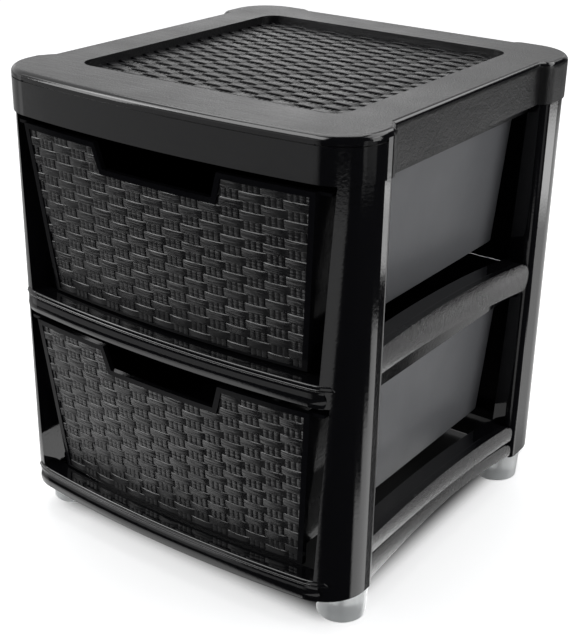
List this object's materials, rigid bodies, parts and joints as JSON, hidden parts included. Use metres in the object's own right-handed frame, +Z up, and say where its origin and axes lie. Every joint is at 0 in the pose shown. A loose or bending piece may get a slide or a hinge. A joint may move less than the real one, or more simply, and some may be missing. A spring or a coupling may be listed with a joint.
{
  "type": "plastic drawer tower",
  "caption": "Free-standing plastic drawer tower: drafted tubs with woven-look fronts slide in stacked post-and-rail tiers under a cover with a sunk woven deck.",
  "frame": {"origin": "on the floor, under the middle of the bounding box", "axes": "+Z is up and is the longest extent, the bowed front faces -Y, and +X is the width, the shortest extent"},
  "size_m": [0.335, 0.355, 0.393],
  "materials": {
    "cover_black": "black moulded plastic, satin on top with a fine straight grain, glossy on the skirt and round the deck",
    "frame_black": "glossy black moulded plastic",
    "drawer_black": "glossy black moulded plastic, woven relief on the front",
    "foot_clear": "cloudy clear moulded plastic"
  },
  "bodies": {
    "tower": {"top_cover": "cover_black", "upper_left_frame": "frame_black", "upper_right_frame": "frame_black", "upper_front_rail": "frame_black", "upper_back_rail": "frame_black", "lower_left_frame": "frame_black", "lower_right_frame": "frame_black", "lower_front_rail": "frame_black", "lower_back_rail": "frame_black", "front_left_foot": "foot_clear", "front_right_foot": "foot_clear", "back_left_foot": "foot_clear", "back_right_foot": "foot_clear"},
    "upper_drawer": {"upper_drawer": "drawer_black"},
    "lower_drawer": {"lower_drawer": "drawer_black"}
  },
  "joints": [
    {"name": "upper_drawer_slide", "type": "slide", "parent": "tower", "child": "upper_drawer", "axis": [0, -1, 0], "range_m": [0, 0.2]},
    {"name": "lower_drawer_slide", "type": "slide", "parent": "tower", "child": "lower_drawer", "axis": [0, -1, 0], "range_m": [0, 0.2]}
  ]
}
